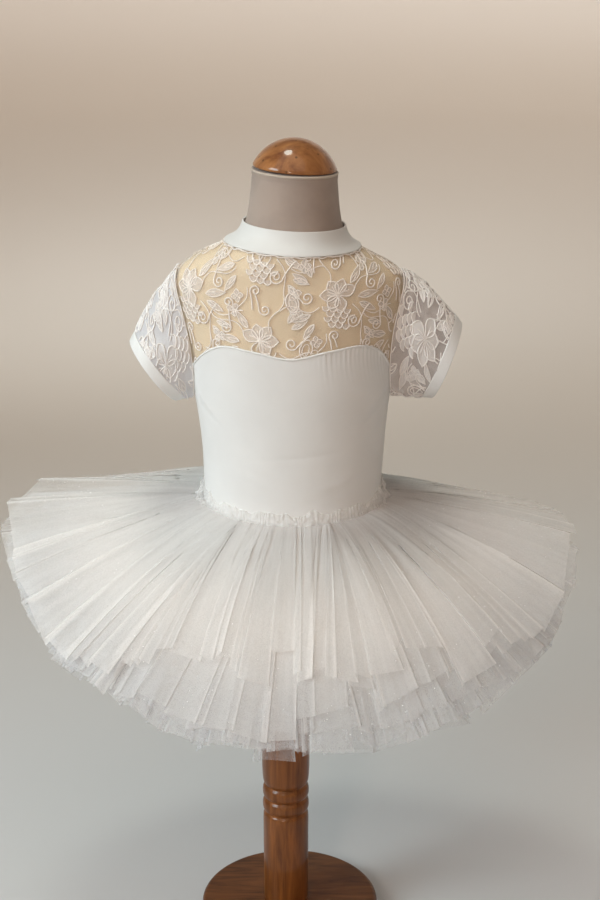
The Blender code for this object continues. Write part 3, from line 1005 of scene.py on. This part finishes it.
sleeve_fill = net_cloth("sleeve_fill", (0.95, 0.93, 0.92), cover=0.72, cell=0.0009, through=0.3)
sleeve_stitches = stitched_lace("sleeve_stitches", (0.92, 0.89, 0.87))
for sleeve in SLEEVES:
    label, side = sleeve[0], sleeve[1]
    sleeve_net = net_cloth("sleeve_net_light_and_shade_" + label, SLEEVE_NET_LIGHT_AND_SHADE[label], SLEEVE_COVER_LIGHT_AND_SHADE[label],
                           cell=0.0011, through=0.35)

    def lace_place(share, way):
        turn = side * share * 2 * math.pi
        way *= above_mouth(sleeve, turn, CUFF_WIDTH - SLEEVE_TUCK)
        return sleeve_point(sleeve, turn, way, sleeve_folds(side, turn, way))

    def cuff_place(share, way):
        turn = side * share * 2 * math.pi
        start = above_mouth(sleeve, turn, CUFF_WIDTH)
        return sleeve_point(sleeve, turn, start + (1 - start) * way, CUFF_LIFT)

    def sleeve_spot(across, down, lift):
        if abs(across) > SLEEVE_GIRTH / 2 or not 0 < down < 0.08:
            return None
        turn = across / SLEEVE_GIRTH * 2 * math.pi
        reach = (sleeve_point(sleeve, turn, 1.0) - sleeve_point(sleeve, turn, 0.0)).length
        way = down / reach
        if way < 0.01 or down > reach - CUFF_WIDTH:
            return None
        lift = lift - CORD_LIFT + 0.0006 + sleeve_folds(side, turn, way)
        return sleeve_point(sleeve, turn, way, lift)

    shape = grid_shape(120, 40, lace_place, SLEEVE_FLAT, closed=True)
    bmesh.ops.reverse_faces(shape, faces=shape.faces)
    net = show_piece("sleeve_" + label + "_net", shape, sleeve_net, ["sleeve_" + label])
    parts = lay_lace("sleeve_" + label, sleeve_spot, SLEEVE_REACH, SLEEVE_SPRIG[label],
                     SLEEVE_PITCH, sleeve_stitches, sleeve_fill)
    shape = grid_shape(96, 6, cuff_place, CUFF_FLAT, closed=True)
    bmesh.ops.reverse_faces(shape, faces=shape.faces)
    solidify(shape, CUFF_WALL)
    cuff = show_piece("cuff_" + label + "_band", shape, white_jersey,
                      ["cuff_" + label], crisp=100)
    soft_edges(cuff, 0.0005)
    seam = [sleeve_point(sleeve, 2 * math.pi * i / 96, 0.0, -0.0002) for i in range(97)]
    cord_piece("armhole_seam_" + label, [seam], 0.0006, sleeve_stitches, 2)


# --------------------------------------------------------------------------- hip yoke
# A plain jersey tube under the skirt. The tulle layers are sewn to it one above another.
HIP_YOKE_END = 0.4520
HIP_FLAT = (0.54, 0.048)


def hip_place(share, rise):
    turn = share * 2 * math.pi
    height = HIP_YOKE_END + (waist_height(turn) - 0.001 - HIP_YOKE_END) * rise
    return over_body(turn, height, CLEAR + JERSEY - 0.0002)


shape = grid_shape(120, 12, hip_place, HIP_FLAT, closed=True)
solidify(shape, SHELL)
hips = show_piece("hip_yoke_tube", shape, white_jersey, ["hip_yoke"], crisp=70)


# -------------------------------------------------------------------------- tulle skirt
# Six layers of soft white tulle with a fine glitter, cut straight, gathered hard to the
# waist and left raw at the hem. Each layer's gathers fall over one another as flat folds
# that open out towards the hem.
LAYERS = (
    # droop in front, at the sides, behind (degrees), reach at the sides, reach in front
    (24.0, 8.0, 30.0, 0.202, 0.204),
    (26.5, 11.0, 31.5, 0.206, 0.208),
    (29.0, 14.0, 33.0, 0.206, 0.210),
    (31.5, 17.0, 34.5, 0.203, 0.212),
    (34.0, 20.0, 36.0, 0.199, 0.213),
    (36.0, 23.0, 37.5, 0.195, 0.213),
)
# How sharply the front and the back give way to the sides, the right side's own droop
# and reach, and how much of the droop a layer has at its waist.
FRONT_BLEND = 2.6
BACK_BLEND = 2.0
RIGHT_DROOP = 4.5
RIGHT_REACH = 0.02
LAYER_SPRING = 0.7
# The waist seams: how far below the waist, below one another and clear of the jersey.
TOP_LAYER_DIP = 0.005
LAYER_DROP = 0.006
LAYER_SEAT = 0.0012
# The cut: the strips' width, what is cut away in front of each layer, how ragged each hem
# is, how often a tongue is cut, how far right the cut lies, and the slant of a ply's hem.
STRIP_WIDTH = 0.213
FRONT_CUT = (0.260, 0.150, 0.010, 0.000, -0.005, -0.010)
RAGGED = (0.170, 0.150, 0.060, 0.055, 0.050, 0.050)
TONGUE = 0.45
CUT_TURN = math.radians(14)
HEM_TILT = 0.012
# The flat folds: their width in degrees, their lift, and how they calm down at the sides.
NARROWEST_PLY = 1.6
WIDEST_PLY = (11.0, 11.0, 11.0, 11.0, 12.0, 12.0)
FOLD_LIFT = (0.0020, 0.0024, 0.0028, 0.0030, 0.0030, 0.0032)
CALM_SIDES = 0.38
CALM_WIDER = 0.7
CALM_FLATTER = 0.4
# How far each hem settles on the lowest one in front, and how the folds sway from their
# places at the waist.
SETTLE = (0.74, 0.80, 0.86, 0.86, 0.78, 0.0)
SWAY = 0.09
# Colour and density of the top and the lowest layer, and the lengths from the waist
# between which a layer's tone turns. All six are the same white tulle: the greyer tone of the
# lower layers towards the hem is painted shade.
TULLE_TOP = (0.985, 0.968, 0.955)
TULLE_LOW_SHADE = (0.72, 0.73, 0.76)
COVER_TOP = 0.34
COVER_LOW = 0.19
HEM_SHADE_SPAN = (0.110, 0.190)
# The strip's own columns and rows, its raw edge, and its small gathers near the waist.
COLUMN_WIDTH = 0.0042
CREASE_EDGE = 0.03
ROWS = 22
HEM_EDGE = 0.008
GATHER = 0.0018
GATHER_START = 0.16
GATHER_END = 0.68
# How the cloth looks denser along a crease and where it crowds at the waist.
FOLD_LINE = 0.05
CROWDING = 1.10
# Long swells start at the waist, and short ones start nearly half-way to the hem.
SHORT_SWELL_START = 0.45
LONG_SWELLS = (
    # angle (degrees), half width (degrees), height
    (199, 7, 0.0030), (215, 5, -0.0030), (229, 8, 0.0038), (246, 4, -0.0034), (257, 6, 0.0026),
    (275, 7, 0.0032), (288, 4, -0.0038), (299, 6, 0.0026), (311, 5, -0.0042), (324, 8, 0.0036),
    (340, 6, -0.0030), (352, 7, 0.0028), (25, 8, 0.0036), (43, 6, -0.0032), (59, 9, 0.0034),
    (77, 6, -0.0036), (95, 7, 0.0028), (125, 9, 0.0040), (143, 6, -0.0034), (160, 8, 0.0030),
)
SHORT_SWELLS = (
    # angle (degrees), half width (degrees), height
    (207, 3, 0.0030), (222, 4, -0.0026), (238, 3, 0.0028), (251, 3, -0.0030), (265, 3, -0.0026),
    (282, 4, 0.0030), (294, 3, -0.0028), (305, 3, 0.0034), (317, 3, -0.0026), (333, 4, 0.0030),
    (346, 3, -0.0028), (5, 4, -0.0030), (34, 4, 0.0026), (68, 3, 0.0030), (86, 4, -0.0026),
    (109, 4, -0.0032), (134, 4, 0.0030), (152, 3, -0.0028), (174, 5, -0.0034), (187, 3, 0.0024),
)


def by_side(turn, front, side, back):
    """Blend a value from the front, through the sides, to the back of the skirt."""
    share = front_share(turn)
    if share > 0:
        return side + (front - side) * share ** FRONT_BLEND
    return side + (back - side) * (-share) ** BACK_BLEND


def layer_start(number, turn):
    height = waist_height(turn) - TOP_LAYER_DIP - LAYER_DROP * number
    return over_body(turn, height, CLEAR + JERSEY + LAYER_SEAT)


def round_table(function):
    """Read a function of the angle round the waist from a table of its values."""
    steps = 720
    table = [function(2 * math.pi * i / steps) for i in range(steps)]

    def read(turn):
        place = turn / (2 * math.pi) * steps
        low = math.floor(place)
        return table[low % steps].lerp(table[(low + 1) % steps], place - low)
    return read


def swell_height(swells, turn):
    total = 0.0
    for angle, wide, height in swells:
        apart = (math.degrees(turn) - angle + 180) % 360 - 180
        total += height * math.exp(-(apart / wide) ** 2)
    return total


swell_at = round_table(lambda turn: Vector((swell_height(LONG_SWELLS, turn),
                                            swell_height(SHORT_SWELLS, turn), 0)))


def layer_fall(number, turn, way):
    """The way from a layer's start to its hem, as if it were the only layer."""
    swell = swell_at(turn)
    late = max(0.0, (way - SHORT_SWELL_START) / (1 - SHORT_SWELL_START))
    swell = swell.x * way + swell.y * late ** 1.5
    front, side, back, side_reach, front_reach = LAYERS[number]
    droop = by_side(turn, front, side, back) + RIGHT_DROOP * math.cos(turn)
    droop = math.radians(droop) * (LAYER_SPRING + (1 - LAYER_SPRING) * way)
    reach = by_side(turn, front_reach, side_reach, front_reach)
    reach *= (1 + RIGHT_REACH * math.cos(turn)) * way
    outward = Vector((math.cos(turn), math.sin(turn), 0.0))
    return outward * math.cos(droop) * reach + Vector((0, 0, swell - math.sin(droop) * reach))


def layer_sink(number, turn):
    """How far a layer's hem settles on the lowest layer's, in front."""
    last = len(LAYERS) - 1
    lowest = layer_start(last, turn) + layer_fall(last, turn, 1.0)
    gap = lowest - layer_start(number, turn) - layer_fall(number, turn, 1.0)
    return gap * SETTLE[number] * smooth_step(0.0, 0.55, front_share(turn))


def layer_point(number, turn, way, sink):
    """A point of a layer before it is folded, from its waist (way 0) to its hem (way 1)."""
    return layer_fall(number, turn, way) + sink * way ** 1.3


def fold_plan(number, rng):
    """The creases of a layer: angle at the hem, lift of the fold, and share of the reach."""
    creases, turn, side, length, goal = [], 0.0, 1, 1.0, 1.0
    while turn < 360:
        front = max(front_share(math.radians(turn)), 0.0)
        calm = math.exp(-(front_share(math.radians(turn)) / CALM_SIDES) ** 2)
        wide = rng.random() ** 1.7 * (WIDEST_PLY[number] - NARROWEST_PLY) + NARROWEST_PLY
        wide *= 1 + CALM_WIDER * calm
        lift = FOLD_LIFT[number] * (1 - CALM_FLATTER * calm)
        start = -side * rng.uniform(0.2, 1.0) * lift
        side = rng.choice((-1, 1))
        end = side * rng.uniform(0.2, 1.0) * lift
        tilt = rng.uniform(-HEM_TILT, HEM_TILT)
        creases.append((turn, start, length - tilt))
        creases.append((turn + wide, end, length + tilt))
        narrow = rng.random() < 0.7
        back = rng.uniform(0.3, 0.8) if narrow else rng.uniform(1.0, 2.6)
        if rng.random() < TONGUE:
            ragged = RAGGED[number] * (0.25 + 0.75 * front ** 2) * rng.uniform(-1.0, 0.5)
            cut = max(front_share(math.radians(turn) - CUT_TURN), 0.0) ** 3.5
            goal = 1.0 - FRONT_CUT[number] * cut + ragged
        length += (goal - length) * rng.uniform(0.6, 1.0) + rng.uniform(-0.008, 0.008)
        turn += wide - min(back, wide * 0.5)
    scale = 2 * math.pi / turn
    return [(angle * scale, lift, reach) for angle, lift, reach in creases]


def hem_line(number, creases, start_at, sink_at):
    """Where each crease meets the cut hem, and the lengths along the uncut one to it."""
    hems, uncut = [], []
    for turn, lift, share in creases:
        wave = 0.0010 * math.sin(4 * turn + 0.7) + 0.0012 * math.sin(9 * turn + number)
        rise = start_at(turn) + Vector((0, 0, lift + wave))
        hems.append(rise + layer_point(number, turn, share, sink_at(turn)))
        uncut.append(rise + layer_point(number, turn, 1.0, sink_at(turn)))
    lengths = [0.0]
    for before, after in zip(uncut, uncut[1:]):
        lengths.append(lengths[-1] + (after - before).length)
    return hems, lengths


def strip_columns(lengths, rng):
    """The columns of a strip's grid: its ply, share of that ply, and strength of gather."""
    columns = []
    for ply, (start, end) in enumerate(zip(lengths, lengths[1:])):
        parts = max(3, round((end - start) / COLUMN_WIDTH))
        steps = [0, CREASE_EDGE] + [k / parts for k in range(1, parts)] + [1 - CREASE_EDGE]
        columns += [(ply, t, rng.uniform(0.5, 1.0)) for t in steps]
    columns.append((len(lengths) - 2, 1.0, columns[0][2]))
    return columns


def gathered_layer(number, rng):
    """One strip of tulle gathered to the waist all round, in flat folds to its hem."""
    creases = fold_plan(number, rng)
    creases.append((creases[0][0] + 2 * math.pi, *creases[0][1:]))
    start_at = round_table(lambda turn: layer_start(number, turn))
    sink_at = round_table(lambda turn: layer_sink(number, turn))
    phase = rng.uniform(0, 6)
    hems, lengths = hem_line(number, creases, start_at, sink_at)
    total = lengths[-1]
    columns = strip_columns(lengths, rng)
    across = len(columns) - 1

    shape = bmesh.new()
    cut = shape.loops.layers.uv.new("flat")
    fold = shape.verts.layers.float.new("fold")
    bmesh.ops.create_grid(shape, x_segments=across, y_segments=ROWS, size=0.5, calc_uvs=True)
    shape.verts.index_update()
    flat_at = {}
    for vertex in shape.verts:
        index = round((vertex.co.x + 0.5) * across)
        row = round((vertex.co.y + 0.5) * ROWS)
        way = 1.0 if row == ROWS else (row / (ROWS - 1)) ** 1.15 * (1 - HEM_EDGE)
        ply, t, strength = columns[index]
        before, after = creases[ply][0], creases[ply + 1][0]
        hem_turn = before + (after - before) * t
        length = lengths[ply] + (lengths[ply + 1] - lengths[ply]) * t
        waist_turn = length / total * 2 * math.pi
        waist_turn += SWAY * (math.sin(6 * waist_turn + phase) + 0.6 * math.sin(13 * waist_turn))
        turn = waist_turn + (hem_turn - waist_turn) * way ** 0.5
        spot = start_at(waist_turn).lerp(hems[ply].lerp(hems[ply + 1], t), way)
        sink = sink_at(turn)
        spot += layer_point(number, turn, way, sink) - layer_point(number, turn, 1.0, sink) * way
        gather = max(0.0, 1 - way / GATHER_END) ** 1.2 * (1 if index % 2 else -1) * (index != across)
        gather *= 0.35 + 0.65 * smooth_step(0.0, GATHER_START, way)
        spot.z += GATHER * strength * gather
        near = max(0.0, 1 - min(t, 1 - t) / FOLD_LINE)
        vertex[fold] = max(near * (0.22 + 0.36 * way), 1.0 - CROWDING * way ** 0.8)
        vertex.co = spot
        flat_at[vertex.index] = (length, way * STRIP_WIDTH)
    for face in shape.faces:
        for loop in face.loops:
            loop[cut].uv = flat_at[loop.vert.index]
    edge = [vertex for vertex in shape.verts if vertex.is_boundary]
    bmesh.ops.remove_doubles(shape, verts=edge, dist=0.00002)
    return shape, total, sum(share for _, _, share in creases) / len(creases)


rng = random.Random(11)
for number in range(len(LAYERS)):
    shape, length, share = gathered_layer(number, rng)
    label = "tulle_layer_" + str(number + 1)
    depth = number / (len(LAYERS) - 1)
    # hem is the painted shade that this layer turns to towards its hem; deeper layers get a greyer
    # one.
    hem = tuple(top + (low - top) * depth for top, low in zip(TULLE_TOP, TULLE_LOW_SHADE))
    cover = COVER_TOP + (COVER_LOW - COVER_TOP) * depth
    tulle = net_cloth("white_tulle_" + str(number + 1), TULLE_TOP, cover, cell=0.0013,
                      through=0.45, streak=0.08, fold=0.62, sheen=0.2, hem=(hem, *HEM_SHADE_SPAN))
    layer = show_piece(label + "_gathered", shape, tulle,
                       [label + "_front", label + "_back"], crisp=180)
    min(share, 1.0) * length * STRIP_WIDTH


# The glitter is scattered flecks of foil bonded to the tulle.
FLECKS = 2600
FLECK_RADIUS = 0.0005


def fleck_foil(name):
    """Tiny flakes of pearly white foil, each of its own shade and polish."""
    material, shader = new_material(name)
    place = add_node(material, "TexCoord", "Object")
    coarse = add_node(material, "VectorMath", "Vector", {0: place, 1: (0.004, 0.004, 0.004)},
                      operation="SNAP")
    flake = add_node(material, "TexWhiteNoise", "Value", {"Vector": coarse},
                     noise_dimensions="3D")
    tone = two_tone(material, flake, (0.93, 0.93, 0.95), (0.99, 0.99, 1.0), 0.0, 1.0)
    polish = add_node(material, "MapRange", "Result",
                      {"Value": flake, "To Min": 0.15, "To Max": 0.40})
    set_inputs(shader, {"Base Color": tone, "Metallic": 0.3, "Roughness": polish})
    return material


foil = fleck_foil("foil")
shape = bmesh.new()
for i in range(FLECKS):
    number = rng.choice((0, 0, 0, 1, 1, 2, 3))
    turn = rng.uniform(0, 2 * math.pi)
    way = math.sqrt(rng.uniform(0.01, 0.93)) * (0.9 if number == 0 else 1.0)
    spot = layer_start(number, turn)
    spot += layer_point(number, turn, way, layer_sink(number, turn))
    spot.z += rng.uniform(0.0005, 0.0030)
    made = bmesh.ops.create_circle(shape, segments=6, radius=FLECK_RADIUS, cap_ends=True)
    tilt = Vector((rng.uniform(-1, 1), rng.uniform(-1, 1), 1.2)).to_track_quat("Z", "Y")
    bmesh.ops.rotate(shape, verts=made["verts"], cent=(0, 0, 0), matrix=tilt.to_matrix())
    bmesh.ops.translate(shape, verts=made["verts"], vec=spot)
show_piece("tulle_glitter", shape, foil)


# ------------------------------------------------------------------- gathered waistline
# The tulle's own heading: it is gathered on elastic and stands up round the waist as a
# narrow crumpled ruffle, with a puff at each side.
FRILL_FLAT = (0.60, 0.0135)
FRILL_PLEATS = 124
FRILL_BOTTOM = -0.0063
FRILL_HEIGHT = 0.0106
# The puffs: place and spread (1 in front, -1 behind), and how far they drop and stand.
PUFF_MIDDLE = 0.12
PUFF_SPREAD = 0.26
PUFF_DROP = 0.0082
PUFF_HEIGHT = 0.0142
PUFF_OUT = 0.0052


def frill_place(share, rise):
    turn = share * 2 * math.pi
    puff = math.exp(-((front_share(turn) - PUFF_MIDDLE) / PUFF_SPREAD) ** 2)
    pleat = FRILL_PLEATS * share + 0.45 * math.sin(17 * turn) + 0.33 * math.sin(31 * turn + 2)
    fold = 0.5 + 0.5 * math.sin(2 * math.pi * pleat + 1.5 * math.sin(7 * turn) * rise)
    size = 0.50 + 0.30 * math.sin(23 * turn + 1) + 0.20 * math.sin(41 * turn)
    lump = math.sin(27 * turn + 9 * rise) + math.sin(45 * turn - 7 * rise + 1)
    low = FRILL_BOTTOM - PUFF_DROP * puff + 0.0008 * math.sin(19 * turn + 2)
    tall = FRILL_HEIGHT + 0.0016 * math.sin(13 * turn) + 0.0040 * size + PUFF_HEIGHT * puff
    height = waist_height(turn) + low + tall * rise
    out = 0.0004 + fold * (0.3 + size) * (0.0005 + 0.0005 * rise)
    out += 0.0022 * (1 - smooth_step(0.0, 0.35, rise))
    out += (0.0006 + 0.0003 * lump) * math.sin(math.pi * rise)
    out += puff * (PUFF_OUT + 0.0016 * lump) * math.sin(math.pi * min(0.12 + rise * 0.95, 1.0))
    sway = (0.006 + 0.020 * puff) * math.sin(29 * turn + 6 * rise) * rise
    return over_body(turn + sway, height, CLEAR + JERSEY + out)


ruched = net_cloth("ruched_tulle", (0.92, 0.91, 0.90), cover=0.42, cell=0.0013, through=0.45,
                   streak=0.12, sheen=0.2)
shape = grid_shape(FRILL_PLEATS * 8, 14, frill_place, FRILL_FLAT, closed=True)
frill = show_piece("waist_ruffle", shape, ruched, ["waist_frill"], crisp=180)


# ----------------------------------------------------------------------------- studio
# A plain pale floor that curves up far away into a wall, soft light from the left, by the
# camera and from above, lamps for the wall and the floor, and the camera itself.
# Painted light and shade on the floor: greyer and darker near the stand, paler far off, and palest
# up the wall.
FLOOR_NEAR_SHADE = (0.60, 0.60, 0.60)
FLOOR_FAR_LIGHT = (0.81, 0.76, 0.69)
WALL_HIGH_LIGHT = (0.97, 0.94, 0.89)
FLOOR_TOP = -0.0003
FLOOR_REACH = 6.5
COVE_RADIUS = 3.0
WALL_TOP = 7.0
SOFT_LIGHTS = (
    # name, place, target, size, watts, colour, spread (degrees)
    ("window", (-1.9, -1.0, 1.6), (-0.45, 0.02, 0.42), 1.2, 6.2, (0.78, 0.94, 1.0), 65),
    ("camera_side", (-0.45, -1.9, 1.1), (0, 0, 0.6), 0.22, 7.0, (1.0, 0.81, 0.70), 180),
    ("ceiling", (-0.32, 0.10, 2.6), (0, 0, 0.5), 0.50, 8.5, (0.90, 1.0, 0.92), 180),
    ("background", (-1.5, 1.1, 1.3), (-0.1, 3.3, 1.7), 1.5, 54, (0.89, 0.965, 1.0), 100),
    ("floor_fill", (0.85, 0.35, 1.0), (0.50, 0.14, 0.0), 0.4, 0.26, (1.0, 1.0, 0.98), 50),
)
ROOM_LIGHT_TURN = (math.radians(38), 0.0, math.radians(-14))
ROOM_LIGHT_COLOUR = (1.0, 0.80, 0.66)
CAMERA_PLACE = (0.0112, -1.647, 1.0913)
CAMERA_PITCH = 18.5
LENS = 69.2

outline = [(0.0, FLOOR_TOP), (FLOOR_REACH, FLOOR_TOP)]
outline += arc((FLOOR_REACH, COVE_RADIUS), (COVE_RADIUS, COVE_RADIUS), -85, 0, 16)
outline += [(FLOOR_REACH + COVE_RADIUS, WALL_TOP)]
shape = turned_shape(outline, 96)
bmesh.ops.reverse_faces(shape, faces=shape.faces)
floor_paint, shader = new_material("floor_paint")
# The floor's paint is painted light and shade: its tone pales with distance from the stand and with
# height up the wall.
place = add_node(floor_paint, "TexCoord", "Object")
along = add_node(floor_paint, "SeparateXYZ", "Y", {"Vector": place})
depth = add_node(floor_paint, "MapRange", "Result",
                 {"Value": along, "From Min": 0.1, "From Max": 2.2},
                 interpolation_type="SMOOTHSTEP")
ground = two_tone(floor_paint, depth, FLOOR_NEAR_SHADE, FLOOR_FAR_LIGHT, 0.0, 1.0)
height = add_node(floor_paint, "MapRange", "Result",
                  {"Value": along.node.outputs["Z"], "From Min": 0.02, "From Max": 0.5},
                  interpolation_type="SMOOTHSTEP")
paint = add_node(floor_paint, "MixRGB", "Color",
                 {"Fac": height, "Color1": ground, "Color2": (*WALL_HIGH_LIGHT, 1.0)})
set_inputs(shader, {"Base Color": paint, "Roughness": 0.9})
floor = add_object("floor", smooth_mesh("floor", shape, floor_paint))


def soft_light(name, place, target, size, power, colour, spread):
    lamp = bpy.data.lights.new(name, "AREA")
    lamp.shape = "DISK"
    lamp.size = size
    lamp.energy = power
    lamp.color = colour
    lamp.spread = math.radians(spread)
    holder = add_object(name, lamp)
    holder.location = place
    holder.rotation_euler = (Vector(target) - Vector(place)).to_track_quat("-Z", "Y").to_euler()


for lamp_row in SOFT_LIGHTS:
    soft_light(*lamp_row)

lamp = bpy.data.lights.new("room_light", "SUN")
lamp.energy = 1.10
lamp.angle = math.radians(70)
lamp.color = ROOM_LIGHT_COLOUR
room_light = add_object("room_light", lamp)
room_light.rotation_euler = ROOM_LIGHT_TURN

world = bpy.data.worlds.new("room")
bpy.context.scene.world = world
world.use_nodes = True
sky = world.node_tree.nodes["Background"]
sky.inputs["Color"].default_value = (0.85, 0.95, 1.0, 1.0)
sky.inputs["Strength"].default_value = 0.08

camera_data = bpy.data.cameras.new("camera")
camera_data.lens = LENS
camera_data.sensor_width = 36.0
camera = add_object("camera", camera_data)
camera.location = CAMERA_PLACE
camera.rotation_euler = (math.radians(90 - CAMERA_PITCH), 0.0, 0.0)
bpy.context.scene.camera = camera
bpy.context.scene.view_settings.view_transform = "Standard"
bpy.context.scene.cycles.transparent_max_bounces = 48
bpy.context.scene.cycles.diffuse_bounces = 6
